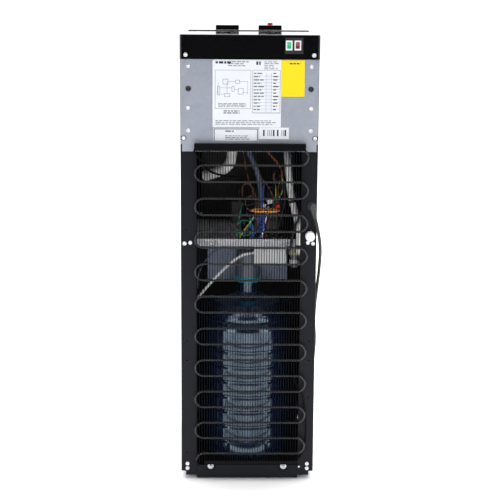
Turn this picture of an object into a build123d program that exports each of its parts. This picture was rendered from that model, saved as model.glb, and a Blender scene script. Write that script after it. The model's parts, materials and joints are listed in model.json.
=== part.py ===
from build123d import *
import math
import os

# Floor-standing bottom-loading water dispenser, millimetres.
# +X is the user's right at the front, -Y is the front, +Y the back, +Z up.
# The origin is on the floor, under the middle of the cabinet.

os.makedirs("parts", exist_ok=True)
PARTS = {}

# ---- driving dimensions -----------------------------------------------------------------
HALF_WIDTH = 154.5          # outer face of each side panel
SHEET = 1.0                 # painted sheet steel
BACK = 158.0                # rear face of the cabinet's rear flanges
FRONT = -153.0              # front face of the cabinet's front flanges
FACE = -172.0               # front face of the plastic front
COVER_TOP = 1040.0
COVER_BOTTOM = 985.7
SKIRT = 20.0                # lower edge of the side panels
FLOOR = 22.0                # underside of the base pan's floor
OPENING = 119.0             # half width of the open back
SHELF = 560.0               # underside of the shelf over the bottle space
SILL = 779.5                # lower edge of the galvanised rear panel
GAP = 0.3                   # clearance between moving pieces
KEY_X = 53.5                # key and tap centres, hot at -X and cold at +X

# condenser
PASSES = 20
PITCH = 37.87
FIRST_PASS = 787.7
TUBE_R = 2.4
COIL_Y = 169.0
COIL_LEFT = 102.0           # straight part of each pass ends here
COIL_RIGHT = -113.0
WIRE_R = 0.7
WIRE_PITCH = 5.88
WIRES = 41

# door
DOOR_Z = (32.0, 572.0)
DOOR_BACK = -156.5
DOOR_FACE = -175.5
HINGE = (147.0, -166.0)

# dispensing niche
NICHE_X = 110.0
NICHE_Z = (590.0, 868.0)
NICHE_BACK = -62.0
WALL = 2.5

# bottle
BOTTLE_R = 126.0
BOTTLE_TOP = 446.0
GROOVE_DEPTH = 3.6
GROOVES = [69.5 + 36.8 * i for i in range(7)]
PAN_TOP = FLOOR + 1.5


# ---- helpers ----------------------------------------------------------------------------
def block(x, y, z):
    """A box between two limits on each axis."""
    size = [hi - lo for lo, hi in (sorted(x), sorted(y), sorted(z))]
    mid = [(a + b) / 2 for a, b in (x, y, z)]
    return Pos(*mid) * Box(*size)


def rod(start, direction, radius, length):
    """A cylinder that starts at a point and runs along a direction."""
    base = Plane(origin=start, z_dir=direction)
    return base * Cylinder(radius, length, align=(Align.CENTER, Align.CENTER, Align.MIN))


def ring(start, direction, outer, inner, length):
    """A plain sleeve."""
    return rod(start, direction, outer, length) - rod(start, direction, inner, length)


def bend_radii(points, share=0.45):
    """Each corner's radius: the largest that its two runs allow."""
    radii = []
    for before, here, after in zip(points, points[1:], points[2:]):
        into = Vector(*here) - Vector(*before)
        out = Vector(*after) - Vector(*here)
        half_turn = math.radians(into.get_angle(out)) / 2
        radii.append(share * min(into.length, out.length) / math.tan(half_turn))
    return radii


def tube(points, radius):
    """A round tube along straight runs joined by arcs as large as the runs allow."""
    path = FilletPolyline(*points, radius=bend_radii(points))
    return sweep(Plane(origin=path @ 0, z_dir=path % 0) * Circle(radius), path=path)


def keep(name, *shapes):
    """Stores a node's solids."""
    solids = [s for shape in shapes for s in shape.solids()]
    PARTS[name] = solids[0] if len(solids) == 1 else Compound(children=solids)


def folded(points, thickness, radius, plane, span):
    """Bent sheet: a centre line in a plane, given a thickness and extruded over a span."""
    line = FilletPolyline(*points, radius=radius)
    return extrude(plane * trace(line, thickness), amount=span)


# ---- fasteners: (x, z, face y, kind) ----------------------------------------------------
SHANK_R = 1.9
SHANK = 9.0
COVER_BACK = 161.0
PANEL_BACK = BACK + SHEET
SHELF_BACK = 151.5
BAR_BACK = 162.5
SCREWS = (
    [(s * 142.0, 995.0, COVER_BACK, "pan") for s in (-1, 1)]
    + [(s * 137.0, z, PANEL_BACK, "pan") for s in (-1, 1) for z in (970.0, 877.0, 827.0)]
    + [(s * 146.8, 809.5, BACK, "pan") for s in (-1, 1)]
    + [(145.6, 568.0, BACK, "pan"), (132.5, 570.0, BACK, "pan")]
    + [(-134.4, 571.0, BACK, "pan"), (-146.2, 569.0, BACK, "pan")]
    + [(s * 140.2, z, BACK, "pan") for s in (-1, 1) for z in (38.0, 27.0)]
    + [(-121.6, 31.0, BACK, "small")]
    + [(80.0, 568.0, SHELF_BACK, "flange"), (-84.0, 568.0, SHELF_BACK, "flange")]
    + [(86.0, 34.0, BAR_BACK, "flange"), (-84.5, 34.0, BAR_BACK, "flange")]
)
PAN_R = 4.7
SMALL_R = 2.6
FLANGE_R = 7.0
PLUG_HOLES = [(side * 136.3, 920.0) for side in (-1, 1)]


def pan_screw(x, z, y, radius=PAN_R):
    """A domed screw with a cross recess."""
    head = rod((x, y, z), (0, 1, 0), radius, 2.2)
    head = fillet(head.edges().filter_by(GeomType.CIRCLE).group_by(Axis.Y)[-1], 1.4)
    recess = block((x - 2.0, x + 2.0), (y + 1.2, y + 3), (z - 0.5, z + 0.5))
    recess += block((x - 0.5, x + 0.5), (y + 1.2, y + 3), (z - 2.0, z + 2.0))
    return (head - recess) + rod((x, y + 0.01, z), (0, -1, 0), SHANK_R, SHANK)


def flange_screw(x, z, y):
    """A hexagon screw with a flange and a dimple."""
    head = rod((x, y, z), (0, 1, 0), FLANGE_R, 1.6)
    hexagon = Plane(origin=(x, y + 1.5, z), z_dir=(0, 1, 0)) * RegularPolygon(5.0, 6)
    head += extrude(hexagon, amount=4.5)
    head -= rod((x, y + 7.0, z), (0, -1, 0), 2.0, 2.4)
    return head + rod((x, y + 0.01, z), (0, -1, 0), SHANK_R, SHANK)


def drill(shape):
    """Clears every screw's shank out of a shape."""
    box = shape.bounding_box()
    for x, z, y, _ in SCREWS:
        inside = box.min.X < x < box.max.X and box.min.Z < z < box.max.Z
        if inside and box.min.Y < y and y - SHANK < box.max.Y:
            shape -= rod((x, y + 0.2, z), (0, -1, 0), SHANK_R + 0.15, SHANK + 1)
    return shape


def push_plug(x, z):
    """A nylon plug with a raised rim, pressed into a spare hole of the rear panel."""
    head = rod((x, PANEL_BACK + 0.05, z), (0, 1, 0), 5.8, 1.4)
    head -= ring((x, PANEL_BACK + 1.0, z), (0, 1, 0), 4.6, 3.4, 1.0)
    return head + rod((x, PANEL_BACK + 0.5, z), (0, -1, 0), 4.0, 6.5)


def screws():
    make = {"pan": pan_screw, "flange": flange_screw,
            "small": lambda x, z, y: pan_screw(x, z, y, SMALL_R)}
    fasteners = [make[kind](x, z, y) for x, z, y, kind in SCREWS]
    keep("screws", *fasteners, *[push_plug(x, z) for x, z in PLUG_HOLES])


# ---- cabinet ----------------------------------------------------------------------------
DRAIN = (-138.8, 588.0)
GLAND = (-143.0, 655.0)
DRAIN_R = 7.0
GLAND_R = 6.0
FRONT_LIP = 15.0
SIDE_TOP = 985.0
SLOT_HEIGHTS = {-1: (338.0, 291.0, 202.0, 600.0), 1: (338.0, 291.0, 66.0, 600.0)}


def side_panel(side):
    """A side of the cabinet, folded in at the back and the front."""
    half = SHEET / 2
    x = HALF_WIDTH - half
    points = [
        (side * OPENING, BACK - half),
        (side * x, BACK - half),
        (side * x, FRONT + half),
        (side * (x - FRONT_LIP), FRONT + half),
    ]
    panel = folded(points, SHEET, 2.0, Plane.XY.offset(SKIRT), SIDE_TOP - SKIRT)
    for z in SLOT_HEIGHTS[side]:
        mid = side * 141.0
        panel -= block((mid - 2, mid + 2), (BACK - 3, BACK + 3), (z - 1.2, z + 1.2))
    for plug_x, z in PLUG_HOLES:
        panel -= rod((plug_x, BACK + 3, z), (0, -1, 0), 4.2, 8)
    return panel


def cabinet():
    left = side_panel(1)
    right = side_panel(-1)
    right -= rod((DRAIN[0], BACK + 3, DRAIN[1]), (0, -1, 0), DRAIN_R + 0.2, 8)
    right -= rod((GLAND[0], BACK + 3, GLAND[1]), (0, -1, 0), GLAND_R + 0.2, 8)
    keep("left_side_panel", drill(left))
    keep("right_side_panel", drill(right))

    half = 0.75
    apron = 155.5
    line = [(FRONT + 5, 9.0), (FRONT + 5, FLOOR + half), (apron, FLOOR + half), (apron, 9.0)]
    pan = folded([(y, z) for y, z in line], 1.5, 1.5, Plane.YZ.offset(-144.0), 288.0)
    for side in (-1, 1):
        rail = block((side * 144, side * 152.5), (FRONT + 6, apron - 1), (FLOOR, PAN_TOP))
        pan += rail
    pan += block((-118, 118), (apron + 0.7, apron + 1.9), (3.0, 34.0))
    for x in (-120, 120):
        for y in (-120, 120):
            pan -= rod((x, y, 0), (0, 0, 1), 4.08, 40)
    tabs = block((-150, -124), (154.5, 156.6), (PAN_TOP - 1, 45.0))
    tabs += block((124, 150), (154.5, 156.6), (PAN_TOP - 1, 45.0))
    keep("base_pan", drill(pan + tabs))

    shelf_line = [(FRONT + 4, SHELF - 12), (FRONT + 4, SHELF + half)]
    shelf_line += [(SHELF_BACK - half, SHELF + half), (SHELF_BACK - half, 577.0)]
    shelf = folded(shelf_line, 1.5, 1.5, Plane.YZ.offset(-152.0), 304.0)
    shelf += block((121, 152), (SHELF_BACK - 0.5, BACK - 1.2), (561.5, 577))
    shelf += block((-152, -121), (SHELF_BACK - 0.5, BACK - 1.2), (561.5, 577))
    shelf -= rod((-4, 121.5, SHELF - 5), (0, 0, 1), 9, 12)
    baffle = block((-99, 99), (-46.0, -45.0), (430.0, SHELF - 0.2))
    baffle += block((-99, 99), (-46.0, -30.0), (SHELF - 1.3, SHELF - 0.2))
    keep("mid_shelf", drill(shelf), baffle)


def rear_panel():
    """Galvanised panel behind the tanks, with notches round two of the cabinet's screws."""
    top = COVER_BOTTOM - 0.3
    panel = block((-153.3, 153.3), (BACK + 0.05, PANEL_BACK), (SILL, top))
    panel += block((-117, 117), (BACK - 11, BACK + 0.5), (SILL, SILL + 1))
    for side in (-1, 1):
        panel -= rod((side * 146.8, PANEL_BACK + 1, 809.5), (0, -1, 0), 6.0, 3)
        panel -= block((side * 146.8, side * 156), (BACK, PANEL_BACK + 1), (805.5, 813.5))
        panel -= block((side * 150.5, side * 154), (BACK, PANEL_BACK + 1), (SILL - 1, 796))
    for x, z in PLUG_HOLES:
        panel -= rod((x, PANEL_BACK + 1, z), (0, -1, 0), 4.2, 3)
    keep("rear_upper_panel", drill(panel))

    thick = (PANEL_BACK + 0.02, PANEL_BACK + 0.3)
    label = block((-70.0, 82.5), thick, (834.6, 984.5))
    notice = block((-122.2, -70.4), thick, (903.0, 984.5))
    caution = block((-19.8, 80.6), thick, (801.0, 832.5))
    strip = block((-88.2, -21.4), thick, (808.2, 834.2))
    keep("labels", label, notice, caution, strip)


# ---- top cover with keys and switches ----------------------------------------------------
NOTCH_HALF = 30.0
NOTCH_BACK = -152.5
NOTCH_SILL = 1016.0
PIVOT_Y = -118.0
PIVOT_Z = 1029.0
PIN_R = 2.0
SWITCH_X = (-118.0, -77.3)
SWITCH_Z = (997.5, 1034.0)
ROCKERS = {"cold_rocker": -86.4, "hot_rocker": -105.4}
ROCKER_Z = 1016.7
ROCKER_Y = 159.5
TRIM_Y = -150.0


def top_cover():
    shell = block((-155.5, 155.5), (FACE, COVER_BACK), (COVER_BOTTOM, COVER_TOP))
    corners = shell.edges().filter_by(Axis.Z).group_by(Axis.Y)
    shell = fillet(corners[0], 14)
    shell = fillet(shell.edges().filter_by(Axis.Z).group_by(Axis.Y)[-1], 4)
    shell = fillet(shell.edges().group_by(Axis.Z)[-1], 2.0)
    inner = block((-153, 153), (FACE + WALL, COVER_BACK - WALL), (900, COVER_TOP - WALL))
    inner = fillet(inner.edges().filter_by(Axis.Z).group_by(Axis.Y)[0], 11.5)
    cover = shell - inner
    for x in (-KEY_X, KEY_X):
        notch = (x - NOTCH_HALF, x + NOTCH_HALF)
        cover -= block(notch, (FACE - 5, NOTCH_BACK), (NOTCH_SILL, COVER_TOP + 5))
        for side in (-1, 1):
            lug = (x + side * 10.8, x + side * 14.2)
            cover += block(lug, (PIVOT_Y - 5, PIVOT_Y + 5), (1023, COVER_TOP - 1))
            pin = (x + side * 9, PIVOT_Y, PIVOT_Z)
            cover -= rod(pin, (side, 0, 0), PIN_R + 0.05, 8)
    cover -= block(SWITCH_X, (COVER_BACK - 5, COVER_BACK + 5), SWITCH_Z)
    cover -= block((-151, 151), (TRIM_Y - 1, TRIM_Y + 1), (COVER_TOP - 0.8, COVER_TOP + 3))
    keep("top_cover", drill(cover))

    bar = block((-150.8, 150.8), (TRIM_Y - 0.9, TRIM_Y + 0.9), (COVER_TOP - 0.7, COVER_TOP + 2.2))
    keep("top_trim_bar", fillet(bar.edges().filter_by(Axis.X).group_by(Axis.Z)[-1], 0.6))


def key(x, locking):
    """A push key on a tail that turns on two trunnions under the cover."""
    back = NOTCH_BACK - 1
    outline = Polyline((-178, 1024), (-178, 1046), (-170, 1054), (back, 1054), (back, 1024),
                       close=True)
    pad = extrude(Plane.YZ.offset(x - 29) * make_face(outline), amount=58)
    pad = fillet(pad.edges().filter_by(Axis.Y).group_by(Axis.Z)[-1], 2.0)
    hollow = block((x - 26, x + 26), (-175.0, NOTCH_BACK - 4), (1020.0, 1028.0))
    pad -= hollow
    body = pad + block((x - 10, x + 10), (NOTCH_BACK - 6, PIVOT_Y + 4), (1025.0, 1033.0))
    body += block((x - 7, x + 7), (-168.0, NOTCH_BACK - 6), (1024.0, 1033.0))
    body += rod((x - 14, PIVOT_Y, PIVOT_Z), (1, 0, 0), PIN_R, 28)
    if locking:
        body -= block((x - 2.2, x + 2.2), (-168.0, -156.0), (1049.0, 1056.0))
    return body


def keys():
    keep("hot_key", key(-KEY_X, True))
    keep("cold_key", key(KEY_X, False))
    slider = block((-KEY_X - 6.5, -KEY_X + 6.5), (-168.5, -160.5), (1054.3, 1060.0))
    slider = fillet(slider.edges().filter_by(Axis.Y).group_by(Axis.Z)[-1], 2.5)
    stem = block((-KEY_X - 1.9, -KEY_X + 1.9), (-167.4, -162.0), (1049.4, 1054.4))
    keep("child_lock", slider + stem)


def switches():
    plate = block((SWITCH_X[0] + 0.3, SWITCH_X[1] - 0.3), (158.4, 160.4),
                  (SWITCH_Z[0] + 0.3, SWITCH_Z[1] - 0.3))
    bodies = []
    for name, x in ROCKERS.items():
        neck = block((x - 6.2, x + 6.2), (142.0, 160.6), (ROCKER_Z - 9.6, ROCKER_Z + 9.6))
        plate -= block((x - 6.4, x + 6.4), (150.0, 165.0), (ROCKER_Z - 9.8, ROCKER_Z + 9.8))
        frame = block((x - 7.3, x + 7.3), (160.5, 162.2), (ROCKER_Z - 10.7, ROCKER_Z + 10.7))
        frame = fillet(frame.edges().filter_by(Axis.Y), 1.0)
        well = block((x - 4.7, x + 4.7), (151.0, 165.0), (ROCKER_Z - 7.5, ROCKER_Z + 7.5))
        bodies.append((frame + neck) - well)
        outline = Polyline((-4.5, -6.4), (3.2, -6.7), (1.4, 0), (3.2, 6.7), (-4.5, 6.4), close=True)
        section = Plane(origin=(x - 4.4, ROCKER_Y, ROCKER_Z), x_dir=(0, 1, 0), z_dir=(1, 0, 0))
        rocker = extrude(section * make_face(outline), amount=8.8)
        keep(name, rocker.rotate(Axis((x, ROCKER_Y, ROCKER_Z), (1, 0, 0)), -8))
    keep("switch_housing", plate, *bodies)


# ---- front: frame, niche, tray, taps ------------------------------------------------------
TAP_Y = -140.0
TAP_R = 11.0
NOZZLE_R = 7.0
PLUNGER_Y = -157.5
PLUNGER_R = 3.0
PLUNGER_TOP = 1023.6


def front():
    frame = block((-154, 154), (FACE, FRONT - 0.3), (575.5, COVER_BOTTOM - 0.3))
    frame = fillet(frame.edges().filter_by(Axis.Z).group_by(Axis.Y)[0], 12)
    frame -= block((-151.5, 151.5), (FACE + WALL, FRONT), (872.5, 1000))
    window = (-NICHE_X, NICHE_X)
    mouth = block(window, (FACE - 1, FRONT + 1), (NICHE_Z[0] - 3, NICHE_Z[1]))
    mouth = fillet(mouth.edges().filter_by(Axis.Y).group_by(Axis.Z)[-1], 18)
    frame -= mouth
    lens_x = (-26.0, 0.0, 26.0)
    for x in lens_x:
        frame -= rod((x, FACE - 2, 945.0), (0, 1, 0), 4.0, 12)
    frame -= block((-KEY_X - 12, KEY_X + 12), (-170.2, FRONT + 1), (868.5, 873.5))
    keep("front_frame", frame)
    lenses = [rod((x, FACE - 0.6, 945.0), (0, 1, 0), 3.9, 4) for x in lens_x]
    keep("indicator_lenses", *[fillet(l.edges().group_by(Axis.Y)[0], 0.5) for l in lenses])

    y = (FRONT + 0.2, NICHE_BACK)
    outer = block((-NICHE_X - WALL, NICHE_X + WALL), y, (NICHE_Z[0] - WALL, NICHE_Z[1] + WALL))
    outer = fillet(outer.edges().filter_by(Axis.Y).group_by(Axis.Z)[-1], 20)
    inner = block(window, (y[0] - 1, y[1] - WALL), NICHE_Z)
    inner = fillet(inner.edges().filter_by(Axis.Y).group_by(Axis.Z)[-1], 18)
    liner = outer - inner
    for x in (-KEY_X, KEY_X):
        liner -= rod((x, TAP_Y, NICHE_Z[1] - 5), (0, 0, 1), NOZZLE_R + 0.4, 15)
    keep("niche_liner", liner)


def taps():
    bodies = []
    for name, x in (("hot", -KEY_X), ("cold", KEY_X)):
        spring_seat = 985.0
        body = rod((x, PLUNGER_Y, 905), (0, 0, 1), TAP_R, spring_seat - 905)
        body += block((x - 9, x + 9), (PLUNGER_Y, TAP_Y + 9), (905, 925))
        body += rod((x, TAP_Y, 850), (0, 0, 1), NOZZLE_R, 62)
        body += rod((x, TAP_Y, 888), (0, 0, 1), 10, 17)
        body += rod((x, PLUNGER_Y + 6, 950), (0, 1, 0), 5, 30)
        body -= rod((x, PLUNGER_Y, 960), (0, 0, 1), PLUNGER_R + 0.1, 40)
        body -= rod((x, TAP_Y, 849), (0, 0, 1), 4.5, 12)
        bodies.append(body)
        plunger = rod((x, PLUNGER_Y, 968), (0, 0, 1), PLUNGER_R, PLUNGER_TOP - 968)
        plunger += rod((x, PLUNGER_Y, 1012), (0, 0, 1), 8.0, 2.5)
        keep(name + "_plunger", plunger)
        turns = 6
        height = 24.6
        helix = Helix(pitch=height / turns, height=height, radius=6.0)
        coil = sweep(Plane(origin=helix @ 0, z_dir=helix % 0) * Circle(0.6), path=helix)
        keep(name + "_spring", Pos(x, PLUNGER_Y, spring_seat + 1.0) * coil)
    keep("taps", *bodies)


TRAY_X = 104.0
TRAY_Y = (-170.0, -70.0)
TRAY_Z = (NICHE_Z[0] + GAP, 611.0)
TRAY_LIP = (-176.5, -172.3)


def tray():
    body = block((-TRAY_X, TRAY_X), TRAY_Y, TRAY_Z)
    body = fillet(body.edges().filter_by(Axis.Z).group_by(Axis.Y)[-1], 6)
    hollow = block((-TRAY_X + 3, TRAY_X - 3), (TRAY_Y[0] + 3, TRAY_Y[1] - 3), (593.0, 620))
    body -= hollow
    ledge = block((-TRAY_X + 3, TRAY_X - 3), (TRAY_Y[0] + 3, TRAY_Y[1] - 3), (604.0, 606.0))
    ledge -= block((-TRAY_X + 7, TRAY_X - 7), (TRAY_Y[0] + 7, TRAY_Y[1] - 7), (600.0, 610.0))
    body += ledge
    lip = block((-108.5, 108.5), TRAY_LIP, (588.5, 617.0))
    lip = fillet(lip.edges().filter_by(Axis.Y), 6)
    body += lip + block((-100, 100), (TRAY_LIP[1] - 1, TRAY_Y[0] + 1), (591, 611.0))
    keep("drip_tray", body)

    x_in = TRAY_X - 3.5
    y_in = (TRAY_Y[0] + 3.5, TRAY_Y[1] - 3.5)
    grille = block((-x_in, x_in), y_in, (606.3, 609.3))
    slots = 19
    step = 9.6
    first = -step * (slots - 1) / 2
    for i in range(slots):
        x = first + i * step
        for y in ((y_in[0] + 6, -121.5), (-115.5, y_in[1] - 6)):
            grille -= block((x - 2.6, x + 2.6), y, (600, 615))
    keep("drip_grille", grille)


# ---- door ---------------------------------------------------------------------------------
GRIP_Z = (330.0, 450.0)
GRIP_X = -137.0


def door():
    z0, z1 = DOOR_Z
    half = 0.6
    skin_line = [
        (-HALF_WIDTH + half, DOOR_BACK - 4),
        (-HALF_WIDTH + half, DOOR_FACE + half),
        (HALF_WIDTH - half, DOOR_FACE + half),
        (HALF_WIDTH - half, DOOR_BACK - 4),
    ]
    skin = folded(skin_line, 2 * half, 5.0, Plane.XY.offset(z0), z1 - z0)
    grip = (GRIP_Z[0] - 5, GRIP_Z[1] + 5)
    skin -= block((-HALF_WIDTH - 1, -HALF_WIDTH + 5), (-172.5, DOOR_BACK), grip)
    keep("door_skin", skin)

    liner = block((-153.0, 153.0), (DOOR_FACE + 1.3, DOOR_BACK), (z0, z1))
    liner = fillet(liner.edges().filter_by(Axis.Z).group_by(Axis.Y)[0], 4.2)
    liner -= block((-134, 132), (-171.0, DOOR_BACK + 1), (z0 + 18, z1 - 18))
    liner -= block((-155, GRIP_X), (-172.0, DOOR_BACK + 1), GRIP_Z)
    for start, way in ((z0 - 1, 1), (z1 + 1, -1)):
        liner -= rod((*HINGE, start), (0, 0, way), 3.05, 17)
    liner -= block((-146.4, -140.0), (-159.5, DOOR_BACK + 1), (249.8, 290.2))
    magnet = block((-146.3, -140.1), (-159.4, DOOR_BACK - 0.1), (250.0, 290.0))
    keep("door_liner", liner, magnet)

    # Each bracket is a leaf under or over the door, with a pin in the door's bore.
    leaf = (132.0, 153.0)
    lower = block(leaf, (-170, FRONT - 0.02), (z0 - 4.0, z0 - 1.0))
    lower += block(leaf, (-155.5, FRONT - 0.02), (z0 - 11, z0 - 1.0))
    lower += rod((*HINGE, z0 - 2), (0, 0, 1), 3.0, 14)
    upper = block(leaf, (-170, FRONT - 0.4), (z1 + 0.6, z1 + 3.0))
    upper += rod((*HINGE, z1 + 2), (0, 0, -1), 3.0, 14)
    keep("hinge_brackets", lower, upper)


# ---- bottle, probe -------------------------------------------------------------------------
def bottle():
    """A blown bottle: a neck, a shoulder and a wall with grooves all the way down."""
    wall = 2.0
    outside = [(0, PAN_TOP + 6), (96, PAN_TOP + 6), (100, PAN_TOP + 0.3), (116, PAN_TOP + 0.3),
               (BOTTLE_R, 40)]
    inside = [(0, PAN_TOP + 8), (114, PAN_TOP + 8), (BOTTLE_R - wall, 42)]
    for low in GROOVES:
        outside += [(BOTTLE_R, low), (BOTTLE_R - GROOVE_DEPTH, low + 4),
                    (BOTTLE_R - GROOVE_DEPTH, low + 7), (BOTTLE_R, low + 11)]
        deep = BOTTLE_R - GROOVE_DEPTH - wall
        inside += [(BOTTLE_R - wall, low - 0.5), (deep, low + 3.5),
                   (deep, low + 7.5), (BOTTLE_R - wall, low + 11.5)]
    # The shoulder steps in twice before it reaches the neck.
    outside += [(BOTTLE_R, 346), (124, 356), (119, 363), (113, 366), (113, 372), (110, 380),
                (103, 388), (84, 397), (60, 404), (34, 410), (27, 416), (27, BOTTLE_TOP)]
    inside += [(124, 345.5), (122, 355), (117.5, 361), (111, 364.5), (111, 371.5), (108.2, 379),
               (102, 386.2), (83.3, 395.1), (59.4, 402.1), (33, 408.2), (25, 415), (25, BOTTLE_TOP)]
    outline = Polyline(*[(r, z) for r, z in outside + inside[::-1]], close=True)
    keep("bottle", revolve(Plane.XZ * make_face(outline), Axis.Z, 360))

    collar = ring((0, 0, 441), (0, 0, 1), 31.5, 27.1, 5.5)
    collar += ring((0, 0, BOTTLE_TOP + 0.05), (0, 0, 1), 31.5, 9.3, 6)
    keep("bottle_collar", collar)
    head = rod((0, 0, 452.2), (0, 0, 1), 30, 60)
    head = fillet(head.edges().group_by(Axis.Z)[-1], 4)
    head += rod((0, 0, 512), (0, 0, 1), 6, 16)
    head -= rod((0, 0, 452), (0, 0, 1), 9.2, 12)
    keep("probe_head", head)
    stem = rod((0, 0, 48), (0, 0, 1), 9.0, 415)
    for i in range(4):
        z = 56 + 9 * i
        stem -= block((-2, 2), (-12, 12), (z, z + 5))
    keep("dip_tube", stem)


# ---- refrigeration ---------------------------------------------------------------------------
COMPRESSOR = (-48.0, 52.0)
COMP_BASE = 574.0
COMP_R = 58.0


def pass_height(i):
    return FIRST_PASS - PITCH * i


def condenser():
    """A serpentine tube between two layers of vertical wires."""
    radius = PITCH / 2
    start = (COIL_LEFT + 12, COIL_Y, FIRST_PASS)
    edges = [Line(start, (COIL_RIGHT, COIL_Y, FIRST_PASS))]
    for i in range(1, PASSES):
        rightward = i % 2 == 0
        x = COIL_LEFT if rightward else COIL_RIGHT
        far = COIL_RIGHT if rightward else COIL_LEFT
        bulge = radius if rightward else -radius
        top = (x, COIL_Y, pass_height(i - 1))
        mid = (x + bulge, COIL_Y, pass_height(i - 1) - radius)
        low = (x, COIL_Y, pass_height(i))
        edges.append(ThreePointArc(top, mid, low))
        edges.append(Line(low, (far, COIL_Y, pass_height(i))))
    # The last pass turns down to the liquid line.
    last = pass_height(PASSES - 1)
    turn = 16.0
    across = turn * math.sin(math.pi / 4)
    down = turn * (1 - math.cos(math.pi / 4))
    edges.append(ThreePointArc((COIL_LEFT, COIL_Y, last), (COIL_LEFT + across, COIL_Y, last - down),
                               (COIL_LEFT + turn, COIL_Y, last - turn)))
    section = Plane(origin=start, z_dir=(-1, 0, 0)) * Circle(TUBE_R)
    keep("condenser_tube", sweep(section, path=Wire([e.edge() for e in edges])))

    offset = TUBE_R + WIRE_R + 0.03
    first = -WIRE_PITCH * (WIRES - 1) / 2
    bottom = 46.0
    length = 797.0 - bottom
    rods = [rod((first + WIRE_PITCH * i, COIL_Y + s * offset, bottom), (0, 0, 1), WIRE_R, length)
            for i in range(WIRES) for s in (-1, 1)]
    keep("condenser_wires", *rods)


BAR_X = (-126.0, 123.0)


def condenser_bars():
    """The strips that carry the coil: a channel over its top edge and one at its foot."""
    reach = TUBE_R + 2 * WIRE_R + 0.2
    top = block(BAR_X, (COIL_Y - reach - 1.2, COIL_Y + reach + 1.2), (783.0, 799.0))
    top -= block((BAR_X[0] - 1, BAR_X[1] + 1), (COIL_Y - reach, COIL_Y + reach), (780.0, 797.6))
    top -= block((117, BAR_X[1] + 1), (COIL_Y - reach - 2, COIL_Y - reach + 1), (780.0, 796.0))
    for x in (89.8, -103.0):
        top += block((x - 1.2, x + 1.2), (COIL_Y + reach + 1, COIL_Y + reach + 2.2), (781.5, 800))
    feet = [block((x - 6, x + 6), (PANEL_BACK + 0.05, COIL_Y - reach - 1.1), (786.0, 798.0))
            for x in (100.0, -100.0)]
    for foot in feet:
        top += foot
    low = block((-117, 115), (COIL_Y - reach - 1.0, COIL_Y + reach + 1.0), (43.0, 52.0))
    low -= block((-118, 116), (COIL_Y - reach, COIL_Y + reach), (44.0, 60.0))
    for x in (86.0, -84.5):
        tab = block((x - 9, x + 9), (157.6, COIL_Y - reach - 0.5), (43.0, 44.4))
        tab += block((x - 9, x + 9), (157.6, BAR_BACK), (24.0, 44.0))
        low += tab
    low -= block((100, 118), (COIL_Y - 8, COIL_Y + 8), (40.0, 60.0))
    keep("condenser_bars", top, drill(low))


def compressor():
    x, y = COMPRESSOR
    shell_base = COMP_BASE + 5
    shell = rod((x, y, shell_base), (0, 0, 1), COMP_R, 112)
    shell = fillet(shell.edges().filter_by(GeomType.CIRCLE).group_by(Axis.Z)[-1], 34)
    shell = fillet(shell.edges().filter_by(GeomType.CIRCLE).group_by(Axis.Z)[0], 12)
    weld = Pos(x, y, shell_base + 44) * (Cylinder(COMP_R + 2.5, 3) - Cylinder(COMP_R - 2, 3))
    stub = rod((x - 30, y + 10, shell_base + 92), (0, 0, 1), 4.5, 26)
    foot = block((x - 65, x + 65), (y - 47, y + 47), (COMP_BASE, COMP_BASE + 3))
    foot -= rod((x, y, COMP_BASE - 1), (0, 0, 1), 30, 8)
    mounts = [(x + i * 55, y + j * 37) for i in (-1, 1) for j in (-1, 1)]
    grommets = []
    for mx, my in mounts:
        foot -= rod((mx, my, COMP_BASE - 1), (0, 0, 1), 6.0, 8)
        grommet = ring((mx, my, SHELF + 1.6), (0, 0, 1), 10, 3.2, 12.3)
        grommet += ring((mx, my, SHELF + 5), (0, 0, 1), 5.9, 3.2, 14.5)
        grommets.append(grommet)
        grommets.append(rod((mx, my, SHELF + 1.6), (0, 0, 1), 3.0, 21) +
                        rod((mx, my, SHELF + 19.7), (0, 0, 1), 8, 2))
    foot = fillet(foot.edges().filter_by(Axis.Z).group_by(Axis.X)[0], 8)
    keep("compressor", shell + weld + stub, foot)
    keep("compressor_mounts", *grommets)
    cover = block((x + COMP_R + 3, x + COMP_R + 30), (y - 4, y + 40), (600, 652))
    keep("terminal_cover", fillet(cover.edges().filter_by(Axis.Z), 4))


DRIER_Y = 138.0


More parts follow.
